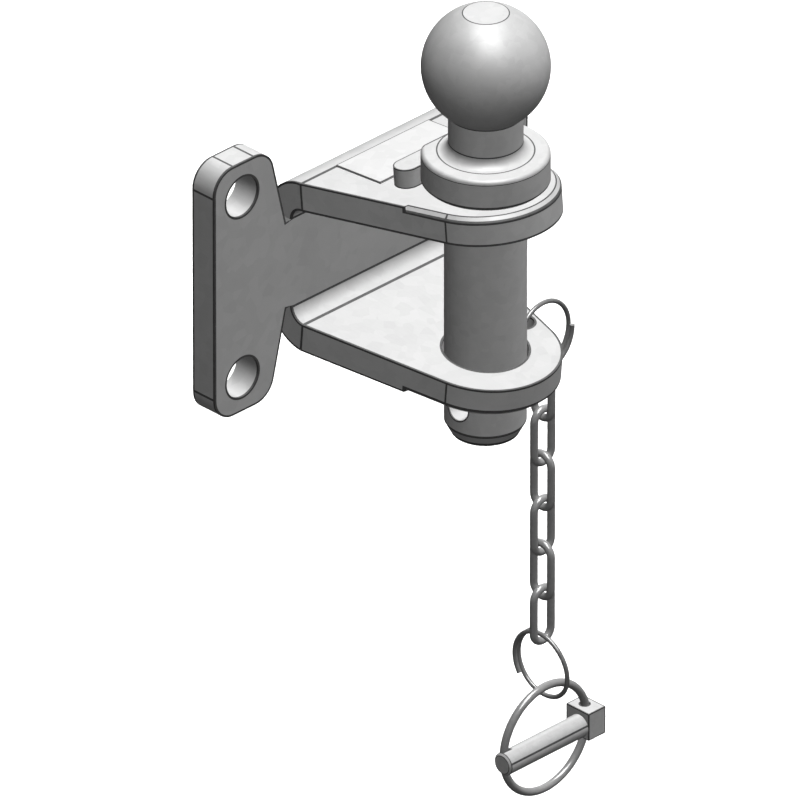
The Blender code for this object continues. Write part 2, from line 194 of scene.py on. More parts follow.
# painted shade lines: a near-black finish laid in narrow strips along sharp edges, tangent lines and bends, dark shade
# painted into the colour
shadeLineLook = {
    "dark": grey(0.030), "light": grey(0.075), "metallic": 0.2, "rough": 0.60, "roughSpread": 0.08,
    "cloudScale": 260.0, "grainScale": (900, 900, 900), "pitScale": 2600.0, "flakeScale": 600.0,
    "bump": 0.3, "relief": 0.00003, "coat": 0.0, "coatRough": 0.3,
}
finishes = {
    "bracket": platedFinish("zincPlatedPlate", bracketLook),
    "turned": platedFinish("turnedBallSteel", turnedLook),
    "bar": platedFinish("zincPlatedBar", barLook),
    "typePlate": platedFinish("blankTypePlate", typePlateLook),
    "wire": platedFinish("brightZincWire", wireLook),
    "ring": platedFinish("shadeDarkSpringWire", shadeDarkRingLook),
    "linch": platedFinish("brightZincForging", linchLook),
    # the edge finish: the painted dark shade lines
    "edge": platedFinish("paintedShadeLine", shadeLineLook),
}
print("finishes:", len(finishes))


# Mesh helpers

def arc(centre, radius, start, end, steps):
    turn = (end - start) / steps
    return [(centre[0] + radius * math.cos(start + turn * i), centre[1] + radius * math.sin(start + turn * i))
            for i in range(steps + 1)]


def tool(name, bm, slots=("bracket", "edge")):
    bmesh.ops.remove_doubles(bm, verts=bm.verts, dist=1e-7)
    bmesh.ops.recalc_face_normals(bm, faces=bm.faces)
    mesh = bpy.data.meshes.new(name)
    bm.to_mesh(mesh)
    bm.free()
    for key in slots:
        mesh.materials.append(finishes[key])
    made = bpy.data.objects.new(name, mesh)
    bpy.context.scene.collection.objects.link(made)
    return made


# outline: points in XY, with painted dark shade lines (the edge finish) across the wall at the marked steps
def extruded(name, outline, start, end, matrix=None, slots=("bracket", "edge"), marks=()):
    bm = bmesh.new()
    low = [bm.verts.new((x, y, start)) for x, y in outline]
    high = [bm.verts.new((x, y, end)) for x, y in outline]
    bm.faces.new(low)
    bm.faces.new(high)
    for i in range(len(outline)):
        j = (i + 1) % len(outline)
        wall = bm.faces.new((low[i], low[j], high[j], high[i]))
        wall.material_index = 1 if i in marks else 0
    if matrix:
        bmesh.ops.transform(bm, matrix=matrix, verts=bm.verts)
    return tool(name, bm, slots)


# profile: radius, height, and whether the strip that ends there is a painted dark shade line
def turnedPiece(name, profile, sides, matrix=None, slots=("turned", "edge")):
    bm = bmesh.new()
    rings = []
    for radius, z, mark in profile:
        count = sides if radius > 0 else 1
        turns = [2 * math.pi * i / sides for i in range(count)]
        rings.append([bm.verts.new((radius * math.cos(t), radius * math.sin(t), z)) for t in turns])
    for low, high, (radius, z, mark) in zip(rings, rings[1:], profile[1:]):
        for i in range(sides):
            j = (i + 1) % sides
            corners = [low[i % len(low)], low[j % len(low)], high[j % len(high)], high[i % len(high)]]
            face = bm.faces.new(list(dict.fromkeys(corners)))
            face.material_index = 1 if mark else 0
    if matrix:
        bmesh.ops.transform(bm, matrix=matrix, verts=bm.verts)
    return tool(name, bm, slots)


# every sharp corner of a turned profile gets a narrow strip on both sides, marked as a painted dark shade line
def softenedProfile(points, width, faintest=0, sharp=math.radians(15)):
    points = [Vector(point) for point in points]
    made = [(*points[0], False)]
    for i, (before, corner, after) in enumerate(zip(points, points[1:], points[2:])):
        into, out = before - corner, after - corner
        reach = min(width * (0.4 if i + 1 == faintest else 1), into.length * 0.45, out.length * 0.45)
        if corner.x > 0 and math.pi - into.angle(out) > sharp:
            made.append((*(corner + into.normalized() * reach), False))
            made.append((*corner, True))
            made.append((*(corner + out.normalized() * reach), True))
        else:
            made.append((*corner, False))
    return made + [(*points[-1], False)]


def combine(target, other, operation):
    modifier = target.modifiers.new(other.name, "BOOLEAN")
    modifier.operation = operation
    modifier.solver = "EXACT"
    modifier.object = other


def evaluatedMesh(source, name):
    bpy.context.view_layer.update()
    mesh = bpy.data.meshes.new_from_object(source.evaluated_get(bpy.context.evaluated_depsgraph_get()))
    mesh.name = name
    return mesh


# how far a strip beside an edge can reach before it runs past a neighbouring corner
def roomBeside(edge, sharp):
    def crossing(vert, one, other):
        return one != other and abs(math.sin((one.other_vert(vert).co - vert.co).angle(
            other.other_vert(vert).co - vert.co))) > 0.3

    room = 1.0
    for vert in edge.verts:
        for other in vert.link_edges:
            far = other.other_vert(vert)
            lines = [one for one in far.link_edges if one in sharp]
            if crossing(vert, edge, other) and any(crossing(far, a, b) for a in lines for b in lines):
                room = min(room, other.calc_length())
    return room


# a painted dark shade line on both sides of every sharp edge; strength makes it thinner, or leaves it out
def lineEdges(target, width, limit, strength=lambda edge: 1.0):
    mesh = evaluatedMesh(target, target.name)
    bm = bmesh.new()
    bm.from_mesh(mesh)
    bmesh.ops.dissolve_limit(bm, angle_limit=math.radians(0.3), verts=bm.verts, edges=bm.edges, delimit={"MATERIAL"})
    weight = bm.edges.layers.float.new("bevel_weight_edge")
    sharp = {edge for edge in bm.edges if edge.is_convex and edge.calc_face_angle(0) > math.radians(limit)
             and strength(edge) > 0}
    share = {edge: min(strength(edge), roomBeside(edge, sharp) * 0.4 / width) for edge in sharp}
    for edge in sharp:
        edge[weight] = min(share[one] for vert in edge.verts for one in vert.link_edges if one in share)
    bm.to_mesh(mesh)
    bm.free()
    target.modifiers.clear()
    target.data = mesh
    modifier = target.modifiers.new("lines", "BEVEL")
    modifier.width = width
    modifier.segments = 2
    modifier.profile = 1.0
    modifier.limit_method = "WEIGHT"
    modifier.material = 1
    modifier.use_clamp_overlap = False
    modifier.loop_slide = False


# smooth all over, but sharp at every edge line, so that flat faces stay flat
def plainMesh(source, name, smoothAngle=32):
    mesh = evaluatedMesh(source, name)
    bm = bmesh.new()
    bm.from_mesh(mesh)
    for face in bm.faces:
        face.smooth = True
    for edge in bm.edges:
        kinds = {face.material_index for face in edge.link_faces}
        edge.smooth = len(kinds) == 1 and edge.calc_face_angle(math.pi) < math.radians(smoothAngle)
    bm.to_mesh(mesh)
    bm.free()
    return mesh


def fitted(name, mesh, body, node):
    piece = bpy.data.objects.new(name, mesh)
    bpy.context.scene.collection.objects.link(piece)
    piece.visible_diffuse = piece.visible_glossy = False  # evenly lit, as in a studio tent
    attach(piece, body)
    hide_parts(node)
    return piece


def clearTools(*tools):
    for used in tools:
        bpy.data.objects.remove(used)


# Bracket
bracket = {
    "plate": 0.012, "flangeWidth": 0.170, "flangeHeight": 0.110, "cornerRadius": 0.010, "boltEdge": 0.015,
    "boltHole": 0.017, "earWidth": 0.030, "reliefWidth": 0.0029, "bendRadius": 0.006,
    "lean": math.radians(5), "jawWidth": 0.087, "straight": 0.0005, "mouth": 0.060, "pinReach": 0.074,
    "noseRadius": 0.0295, "noseChamfer": 0.002, "chamferBack": 0.011, "chamferRamp": 0.0008,
    "upperBore": 0.0328, "lowerBore": 0.0334, "ringHole": 0.0100, "ringHoleX": 0.0236, "ringHoleBack": 0.004,
    "edgeWidth": 0.0009, "lineWidth": 0.0010, "bendLine": 0.0017, "bendSteps": 24, "noseSteps": 48, "cornerSteps": 12,
}
leanSin, leanCos, leanTan = math.sin(bracket["lean"]), math.cos(bracket["lean"]), math.tan(bracket["lean"])
bendOuter = bracket["bendRadius"] + bracket["plate"]
bendForward = bracket["plate"] + bracket["bendRadius"]
jawInnerForward = bendForward - bracket["bendRadius"] * leanSin
jawOuterForward = bendForward - bendOuter * leanSin
bendZ = (bracket["mouth"] / 2 - (bracket["pinReach"] - jawInnerForward) * leanTan
         - bracket["bendRadius"] * leanCos)


def jawOuterZ(forward):
    return bendZ + bendOuter * leanCos + (forward - jawOuterForward) * leanTan


def jawInnerZ(forward):
    return bendZ + bracket["bendRadius"] * leanCos + (forward - jawInnerForward) * leanTan


def roundedCorner(before, corner, after, radius, steps):
    corner = Vector(corner)
    into = (Vector(before) - corner).normalized()
    out = (Vector(after) - corner).normalized()
    half = into.angle(out) / 2
    centre = corner + (into + out).normalized() * radius / math.sin(half)
    start = corner + into * radius / math.tan(half) - centre
    turn = start.angle_signed(corner + out * radius / math.tan(half) - centre)
    return [tuple(centre + Matrix.Rotation(-turn * i / steps, 2) @ start) for i in range(steps + 1)]


def flangeOutline():
    side, top = bracket["flangeWidth"] / 2, bracket["flangeHeight"] / 2
    root = (bracket["jawWidth"] / 2, bendZ)
    foot = (bracket["jawWidth"] / 2 + bracket["reliefWidth"], bendZ)
    ear = [foot, (side - bracket["earWidth"], top), (side, top), (side, 0)]
    right = [root, foot]
    for corner in (ear[0:3], ear[1:4]):
        turn = roundedCorner(*corner, bracket["cornerRadius"], bracket["cornerSteps"])
        # a painted dark shade line, lineWidth wide, at each end of a rounded corner
        before = Vector(turn[0]) + (Vector(corner[0]) - Vector(turn[0])).normalized() * bracket["lineWidth"]
        after = Vector(turn[-1]) + (Vector(corner[2]) - Vector(turn[-1])).normalized() * bracket["lineWidth"]
        right += [tuple(before), *turn, tuple(after)]
    right += [(x, -z) for x, z in reversed(right)]
    near = lambda a, b: 0.98 < math.dist(a, b) / bracket["lineWidth"] < 1.02
    return right, [near(a, b) for a, b in zip(right, right[1:])]


# jaw rows: distance along the jaw and half width, of the edge and of the outer face's rim, and which of the faces that
# end there are painted dark shade lines
def jawPlan():
    middleForward = bendForward - (bracket["bendRadius"] + bracket["plate"] / 2) * leanSin
    pinAt = (bracket["pinReach"] - middleForward) / leanCos
    half = bracket["jawWidth"] / 2
    run = pinAt - bracket["straight"]
    taper = math.atan2(half, run) - math.asin(bracket["noseRadius"] / math.hypot(half, run))
    slope = math.tan(taper)
    chamfer = bracket["noseChamfer"]

    def tapered(distance, cut):
        edge = half - max(distance - bracket["straight"], 0) * slope
        return distance, edge, distance - cut * math.sin(taper), edge - cut * math.cos(taper)

    chamferAt = pinAt - bracket["chamferBack"]
    rows = [(0, half, 0, half, ""), (*tapered(bracket["straight"], 0), "outer inner sides")]
    rows += [(*tapered(bracket["lineWidth"], 0), "outer inner sides"), (*tapered(bracket["bendLine"], 0), "outer inner")]
    rows += [(*tapered(chamferAt, 0), ""), (*tapered(chamferAt + bracket["chamferRamp"], chamfer), "")]
    noseTurn = math.pi / 2 - taper
    edge = arc((pinAt, 0), bracket["noseRadius"], noseTurn, 0, bracket["noseSteps"])
    rim = arc((pinAt, 0), bracket["noseRadius"] - chamfer, noseTurn, 0, bracket["noseSteps"])
    rows += [(*edgePoint, *rimPoint, "sides" if i == 1 else "") for i, (edgePoint, rimPoint) in enumerate(zip(edge, rim))]
    return rows


def jawRows(side):
    rows = []
    for edgeAt, edgeHalf, rimAt, rimHalf, mark in jawPlan():
        levels = ((bendOuter, rimAt, rimHalf), (bendOuter - bracket["noseChamfer"], edgeAt, edgeHalf),
                  (bracket["bendRadius"], edgeAt, edgeHalf))
        row = []
        for radius, distance, half in levels:
            forward = bendForward - radius * leanSin + distance * leanCos
            z = bendZ + radius * leanCos + distance * leanSin
            row += [Vector((-half, -forward, side * z)), Vector((half, -forward, side * z))]
        rows.append((row, mark))
    return rows


def bendRows(side):
    half, rows = bracket["jawWidth"] / 2, []
    # a painted dark shade line along the bend's inner tangent
    innerLine = bracket["lineWidth"] / bracket["bendRadius"]
    turns = [(0, ""), (innerLine, "inner")]
    whole = math.pi / 2 - bracket["lean"]
    steps = [whole * step / bracket["bendSteps"] for step in range(bracket["bendSteps"])]
    turns += [(turn, "") for turn in steps if turn > innerLine * 1.1]
    for turn, mark in turns:
        row = []
        for radius in (bendOuter, bendOuter - bracket["noseChamfer"], bracket["bendRadius"]):
            forward = bendForward - radius * math.cos(turn)
            z = bendZ + radius * math.sin(turn)
            row += [Vector((-half, -forward, side * z)), Vector((half, -forward, side * z))]
        rows.append((row, mark))
    return rows


def makeBracket():
    bm = bmesh.new()
    sections = []
    for side in (1, -1):
        rows = bendRows(side) + jawRows(side)
        sections.append([([bm.verts.new(point) for point in row], mark) for row, mark in rows])
    sides = ((0, 1, "outer"), (1, 3, "sides"), (3, 5, "sides"), (5, 4, "inner"), (4, 2, "sides"), (2, 0, "sides"))

    def skin(row, after, mark):
        for a, b, kind in sides:
            face = bm.faces.new((row[a], row[b], after[b], after[a]))
            face.material_index = 1 if kind in mark.split() else 0

    for rows in sections:
        for (row, _), (after, mark) in zip(rows, rows[1:]):
            skin(row, after, mark)
    half, lines = flangeOutline()
    outline = half + [(-x, z) for x, z in reversed(half)]
    front = [bm.verts.new((x, -bracket["plate"], z)) for x, z in outline]
    back = [bm.verts.new((x, 0, z)) for x, z in outline]
    bm.faces.new(front)
    bm.faces.new(back)
    # flange walls: painted dark shade lines at the marked steps and where a wall meets a jaw root
    for start, marks in ((0, lines), (len(half), lines[::-1])):
        for i, mark in enumerate(marks, start):
            corners = [front[i], front[i + 1], back[i + 1], back[i]]
            for place, at in ((i + 1, 2), (i, len(corners) + 1)):
                if abs(outline[place][0]) == half[0][0]:
                    x, z = outline[place]
                    corners.insert(at, bm.verts.new((x, -bracket["noseChamfer"], z)))
                    mark = True
            bm.faces.new(corners).material_index = int(mark)
    plate = tool("bracketBlank", bm)
    upright = Matrix.Rotation(math.pi / 2, 4, "X")
    cutters = []

    def hole(name, diameter, start, end, matrix, sides):
        radius = diameter / 2
        profile = [(0, start, False), (radius, start, False), (radius, end, False), (0, end, False)]
        cutter = turnedPiece(name, profile, sides, matrix, ("bracket", "edge"))
        combine(plate, cutter, "DIFFERENCE")
        cutters.append(cutter)

    boltX = bracket["flangeWidth"] / 2 - bracket["boltEdge"]
    boltZ = bracket["flangeHeight"] / 2 - bracket["boltEdge"]
    thick = bracket["plate"]
    for x in (-boltX, boltX):
        for z in (-boltZ, boltZ):
            hole("boltHole", bracket["boltHole"], -thick, 2 * thick, Matrix.Translation((x, 0, z)) @ upright, 64)
    axis = Matrix.Translation((0, -bracket["pinReach"], 0))
    level = jawInnerZ(bracket["pinReach"])
    hole("upperBore", bracket["upperBore"], level - thick, level + 2 * thick, axis, 96)
    hole("lowerBore", bracket["lowerBore"], -level - 2 * thick, thick - level, axis, 96)
    ringForward = bracket["pinReach"] - bracket["ringHoleBack"]
    ringPlace = Matrix.Translation((bracket["ringHoleX"], -ringForward, -jawInnerZ(ringForward)))
    hole("ringHole", bracket["ringHole"], -2 * thick, thick, ringPlace, 48)

    # painted dark shade lines are thinner between faces that both face up or down, and left out on the back half of the
    # bolt holes
    def strength(edge):
        middle = sum((vert.co for vert in edge.verts), Vector()) / 2
        inHole = math.dist((abs(middle.x), abs(middle.z)), (boltX, boltZ)) < bracket["boltHole"] * 0.6
        faint = all(abs(face.normal.z) > 0.6 for face in edge.link_faces)
        return 0.0 if inHole and middle.y > -thick / 2 else 0.35 if faint else 1.0

    lineEdges(plate, bracket["edgeWidth"], 33, strength)
    mesh = plainMesh(plate, "bracketPlate")
    clearTools(plate, *cutters)
    return fitted("bracketPlate", mesh, "bracket_body", "bracket")


# Ball pin
ballPin = {
    "ball": 0.050, "ballFlat": 0.018, "ballRise": 0.0502, "neck": 0.029, "neckFillet": 0.004, "collar": 0.050,
    "collarHeight": 0.0133, "collarTopRadius": 0.0017, "collarFootChamfer": 0.00125, "collarFlat": 0.0192,
    "pin": 0.032, "below": 0.024, "tipLead": 0.0052, "tipStep": 0.0027, "crossHole": 0.011, "crossDrop": 0.0081,
    "seatGap": 0.0003, "lineWidth": 0.0006, "sides": 128, "ballSteps": 56, "filletSteps": 12,
}


def makeBallPin():
    b = ballPin
    reach = bracket["pinReach"]
    foot = jawOuterZ(reach + b["collar"] / 2 - b["collarFootChamfer"]) + b["seatGap"]
    collarTop, ballZ = foot + b["collarHeight"], foot + b["ballRise"]
    ballR, neckR, pinR, collarR = b["ball"] / 2, b["neck"] / 2, b["pin"] / 2, b["collar"] / 2
    tip = -jawOuterZ(reach) - b["below"]
    fillet, line = b["neckFillet"], b["lineWidth"]
    points = [
        (0, tip), (pinR - b["tipStep"], tip), (pinR - b["tipStep"] * 0.7, tip + b["tipLead"] * 0.3),
        (pinR, tip + b["tipLead"]), (pinR, foot),
        (collarR - b["collarFootChamfer"], foot), (collarR, foot + b["collarFootChamfer"]),
    ]
    rim = b["collarTopRadius"]
    points.append((collarR, collarTop - rim - line / 2))
    # painted dark shade lines besides those at sharp corners: at the tip's lead, the collar rim's lower tangent and
    # both ends of the neck fillet
    lines = [2, len(points)]
    points += arc((collarR - rim, collarTop - rim), rim, 0, math.pi / 2, b["filletSteps"])
    points.append((neckR + fillet + line, collarTop))
    lines.append(len(points))
    points += arc((neckR + fillet, collarTop + fillet), fillet, -math.pi / 2, -math.pi, b["filletSteps"])
    points.append((neckR, collarTop + fillet + line))
    lines.append(len(points) - 1)
    points += arc((0, ballZ), ballR, -math.acos(neckR / ballR), math.acos(b["ballFlat"] / b["ball"]), b["ballSteps"])
    points.append((0, points[-1][1]))
    profile = softenedProfile(points, line, len(points) - 2)
    drawn = [points[i] for i in lines]
    profile = [(r, z, mark or any(math.dist((r, z), at) < 1e-7 for at in drawn)) for r, z, mark in profile]
    axis = Matrix.Translation((0, -reach, 0))
    pin = turnedPiece("ballPinBlank", profile, b["sides"], axis)

    wide = b["collar"]
    outline = [(-wide, b["collarFlat"]), (wide, b["collarFlat"]), (wide, 2 * wide), (-wide, 2 * wide)]
    flat = extruded("collarFlat", outline, foot - b["pin"], collarTop + fillet / 2, axis, ("turned", "edge"))
    combine(pin, flat, "DIFFERENCE")
    holeZ = -jawOuterZ(reach) - b["crossDrop"]
    across = Matrix.Translation((0, -reach, holeZ)) @ Matrix.Rotation(math.pi / 2, 4, "Y")
    radius = b["crossHole"] / 2
    ends = [(0, -b["pin"], False), (radius, -b["pin"], False), (radius, b["pin"], False), (0, b["pin"], False)]
    cross = turnedPiece("crossHole", ends, 64, across)
    combine(pin, cross, "DIFFERENCE")
    lineEdges(pin, line, 50)
    mesh = plainMesh(pin, "ballPinForging", 24)
    clearTools(pin, flat, cross)
    return fitted("ballPinForging", mesh, "ball_pin_body", "ball_pin")


# Stop bar and type plate on the upper jaw
stopBar = {"length": 0.046, "width": 0.010, "height": 0.008, "edgeWidth": 0.0005, "endSteps": 20}
typePlate = {"length": 0.050, "width": 0.024, "thickness": 0.0008, "fromBend": 0.0015, "edgeWidth": 0.0002,
             "border": 0.0005}


def onUpperJaw(forward):
    place = Vector((0, -forward, jawOuterZ(forward))) + Vector((0, leanSin, leanCos)) * ballPin["seatGap"]
    return Matrix.Translation(place) @ Matrix.Rotation(-bracket["lean"], 4, "X")


def makeStopBar():
    half, endR = stopBar["length"] / 2 - stopBar["width"] / 2, stopBar["width"] / 2
    outline = arc((half, 0), endR, -math.pi / 2, math.pi / 2, stopBar["endSteps"])
    outline += arc((-half, 0), endR, math.pi / 2, 3 * math.pi / 2, stopBar["endSteps"])
    forward = bracket["pinReach"] - ballPin["collarFlat"] - ballPin["seatGap"] - endR
    bar = extruded("stopBarBlank", outline, 0, stopBar["height"], onUpperJaw(forward), ("bar", "edge"))
    lineEdges(bar, stopBar["edgeWidth"], 40)
    mesh = plainMesh(bar, "stopKeyBar")
    clearTools(bar)
    return fitted("stopKeyBar", mesh, "bracket_body", "stop_bar")


def makeTypePlate():
    half, width = typePlate["length"] / 2, typePlate["width"]
    outline = [(-half, 0), (-half, -width), (half, -width), (half, 0)]
    place = onUpperJaw(jawOuterForward + typePlate["fromBend"])
    plate = extruded("typePlateBlank", outline, 0, typePlate["thickness"], place, ("typePlate", "edge"))
    bm = bmesh.new()
    bm.from_mesh(plate.data)
    up = Vector((0, leanSin, leanCos))
    face = max(bm.faces, key=lambda one: one.normal.dot(up))
    # a painted dark shade line all round the top face's border
    for rim in bmesh.ops.inset_region(bm, faces=[face], thickness=typePlate["border"])["faces"]:
        rim.material_index = 1
    bm.to_mesh(plate.data)
    bm.free()
    lineEdges(plate, typePlate["edgeWidth"], 40)
    mesh = plainMesh(plate, "typePlateBlankFace")
    clearTools(plate)
    return fitted("typePlateBlankFace", mesh, "bracket_body", "type_plate")


# Geometry Nodes: a round wire swept along a path, and a chain link
def newTree(name, sockets):
    tree = bpy.data.node_groups.new(name, "GeometryNodeTree")
    tree.is_modifier = True
    for label, kind in sockets:
        tree.interface.new_socket(label, in_out="INPUT", socket_type=kind)
    tree.interface.new_socket("Geometry", in_out="OUTPUT", socket_type="NodeSocketGeometry")
    return tree, Bench(tree)


def closeTree(tree, bench, start, mesh):
    smooth = bench.node("GeometryNodeSetShadeSmooth", None, {"Geometry": mesh})
    real = bench.node("GeometryNodeRealizeInstances", None, {"Geometry": smooth})
    coated = bench.node("GeometryNodeSetMaterial", None, {
        "Geometry": real, "Material": Value(bench, start.outputs["Finish"])})
    end = tree.nodes.new("NodeGroupOutput")
    bench.feed(end.inputs[0], coated)
    return tree


def makeWireTree():
    tree, bench = newTree("sweptWire", (
        ("Path", "NodeSocketGeometry"), ("Wire diameter", "NodeSocketFloat"), ("Sides", "NodeSocketInt"),
        ("Finish", "NodeSocketMaterial")))
    start = tree.nodes.new("NodeGroupInput")
    given = {label: Value(bench, start.outputs[label]) for label in ("Path", "Wire diameter", "Sides")}
    radius = given["Wire diameter"] * 0.5
    section = bench.node("GeometryNodeCurvePrimitiveCircle", None, {"Resolution": given["Sides"], "Radius": radius})
    swept = bench.node("GeometryNodeCurveToMesh", None, {
        "Curve": given["Path"], "Profile Curve": section, "Fill Caps": True})
    return closeTree(tree, bench, start, swept)


def makeLinkTree():
    tree, bench = newTree("chainLink", (
        ("Geometry", "NodeSocketGeometry"), ("Wire diameter", "NodeSocketFloat"), ("Inner width", "NodeSocketFloat"),
        ("Inner length", "NodeSocketFloat"), ("Bow steps", "NodeSocketInt"), ("Sides", "NodeSocketInt"),
        ("Middle", "NodeSocketVector"), ("Turn", "NodeSocketVector"), ("Finish", "NodeSocketMaterial")))
    start = tree.nodes.new("NodeGroupInput")
    given = {item.name: Value(bench, item) for item in start.outputs if item.name}
    wire = given["Wire diameter"]
    wide, tall = given["Inner width"] + wire, given["Inner length"] + wire
    outline = bench.node("GeometryNodeCurvePrimitiveQuadrilateral", None, {"Width": wide, "Height": tall})
    bow = bench.node("GeometryNodeFilletCurve", {"mode": "POLY"}, {
        "Curve": outline, "Radius": wide * 0.4999, "Limit Radius": True, "Count": given["Bow steps"]})
    section = bench.node("GeometryNodeCurvePrimitiveCircle", None, {"Resolution": given["Sides"], "Radius": wire * 0.5})
    swept = bench.node("GeometryNodeCurveToMesh", None, {"Curve": bow, "Profile Curve": section})
    spot = bench.node("GeometryNodePoints", None, {"Count": 1, "Position": given["Middle"]})
    hung = bench.node("GeometryNodeInstanceOnPoints", None, {
        "Points": spot, "Instance": swept, "Rotation": given["Turn"]})
    return closeTree(tree, bench, start, hung)


def treeMesh(name, carrier, tree, values):
    modifier = carrier.modifiers.new(name, "NODES")
    modifier.node_group = tree
    for item in tree.interface.items_tree:
        if item.item_type == "SOCKET" and item.in_out == "INPUT" and item.name in values:
            modifier[item.identifier] = values[item.name]
    bpy.context.view_layer.update()
    evaluated = carrier.evaluated_get(bpy.context.evaluated_depsgraph_get())
    mesh = bpy.data.meshes.new_from_object(evaluated)
    mesh.name = name
    carrier.modifiers.remove(modifier)
    bpy.data.objects.remove(carrier)
    faced = bmesh.new()
    faced.from_mesh(mesh)
    bmesh.ops.remove_doubles(faced, verts=faced.verts, dist=1e-7)
    bmesh.ops.recalc_face_normals(faced, faces=faced.faces)
    faced.to_mesh(mesh)
    faced.free()
    mesh.shade_smooth()
    mesh.set_sharp_from_angle(angle=math.radians(50))
    return mesh


def pathObject(name, points):
    curve = bpy.data.curves.new(name, "CURVE")
    curve.dimensions = "3D"
    spline = curve.splines.new("POLY")
    spline.points.add(len(points) - 1)
    for point, place in zip(spline.points, points):
        point.co = (*place, 1)
    made = bpy.data.objects.new(name, curve)
    bpy.context.scene.collection.objects.link(made)
    return made


# Split rings and chain
splitRing = {
    "upperRadius": 0.015, "lowerRadius": 0.014, "wire": 0.0019, "turnGap": 0.0002, "turns": 1.3, "jog": math.radians(180),
    "upperJogAt": math.radians(127), "lowerJogAt": math.radians(-162), "hangX": 0.0117, "hangZ": 0.012,
    "steps": 96, "sides": 20,
}
chain = {
    "links": 6, "wire": 0.0032, "innerWidth": 0.0062, "innerLength": 0.0203, "ringInLink": 0.0014, "gap": 0.0003,
    "bowSteps": 12, "sides": 24,
}
wireTree, linkTree = makeWireTree(), makeLinkTree()


def splitRingPath(plane, centre, radius, jogAt):
    across = plane[0].cross(plane[1])
    offset = (splitRing["wire"] + splitRing["turnGap"]) / 2
    steps = round(splitRing["steps"] * splitRing["turns"])
    points = []
    for i in range(steps + 1):
        past = (i / steps - 0.5) * splitRing["turns"] * 2 * math.pi
        share = min(max(past / splitRing["jog"] + 0.5, 0), 1)
        shift = offset * (2 * share * share * (3 - 2 * share) - 1)
        turn = jogAt + past
        points.append(centre + radius * (math.cos(turn) * plane[0] + math.sin(turn) * plane[1]) + shift * across)
    return points


def makeChain():
    right, back, up = Vector((1, 0, 0)), Vector((0, 1, 0)), Vector((0, 0, 1))
    upperR, lowerR = splitRing["upperRadius"], splitRing["lowerRadius"]
    bowR = (chain["innerWidth"] + chain["wire"]) / 2
    linkDrop = chain["innerLength"] + chain["wire"]
    wireValues = {"Wire diameter": splitRing["wire"], "Sides": splitRing["sides"], "Finish": finishes["ring"]}
    holeForward = bracket["pinReach"] - bracket["ringHoleBack"]
    hole = Vector((bracket["ringHoleX"], -holeForward, -jawInnerZ(holeForward)))
    centre = hole + splitRing["hangX"] * right - splitRing["hangZ"] * up
    path = splitRingPath((right, up), centre, upperR, splitRing["upperJogAt"])
    mesh = treeMesh("upperSplitRing", pathObject("upperRingPath", path), wireTree, wireValues)
    fitted("upperSplitRing", mesh, "upper_ring_body", "upper_split_ring")

    hinge = centre - upperR * up
    top = hinge + (bowR - chain["ringInLink"]) * up
    for number in range(1, chain["links"] + 1):
        carrier = bpy.data.objects.new("linkCarrier", bpy.data.meshes.new("linkCarrier"))
        bpy.context.scene.collection.objects.link(carrier)
        middle = top - linkDrop / 2 * up
        mesh = treeMesh(f"chainLink{number}", carrier, linkTree, {
            "Wire diameter": chain["wire"], "Inner width": chain["innerWidth"], "Inner length": chain["innerLength"],
            "Bow steps": chain["bowSteps"], "Sides": chain["sides"], "Middle": middle,
            "Turn": (math.pi / 2, 0, math.pi / 2 if number % 2 else 0), "Finish": finishes["wire"]})
        fitted(f"chainLink{number}", mesh, f"link_{number}_body", f"chain_link_{number}")
        hinge = top - linkDrop * up
        top = hinge + (chain["wire"] + chain["gap"]) * up

    centre = hinge + (bowR - chain["ringInLink"] - lowerR) * up
    path = splitRingPath((back, up), centre, lowerR, splitRing["lowerJogAt"])
    mesh = treeMesh("lowerSplitRing", pathObject("lowerRingPath", path), wireTree, wireValues)
    fitted("lowerSplitRing", mesh, "lower_ring_body", "lower_split_ring")
    return centre - lowerR * up


# Linch pin and its spring ring
linch = {
    "ringRadius": 0.0228, "wire": 0.0033, "ringHang": 0.0031, "ringSide": 0.00165, "stub": 0.003, "shank": 0.0095,
    "tipChamfer": 0.0009, "tipWall": 0.0009, "notchPlay": 0.00055, "shadeStripeAt": 21.0, "shadeStripeHalf": 6.0,
    "shankDrop": 0.001, "shankForward": 0.002, "headX": 0.0092, "headY": 0.0123, "headZ": 0.0119, "headLip": 0.0003,
    "hingeIn": 0.0048, "hingeGap": 0.0003, "seatGap": 0.0003, "edgeWidth": 0.0005, "ringSteps": 120, "sides": 28,
}


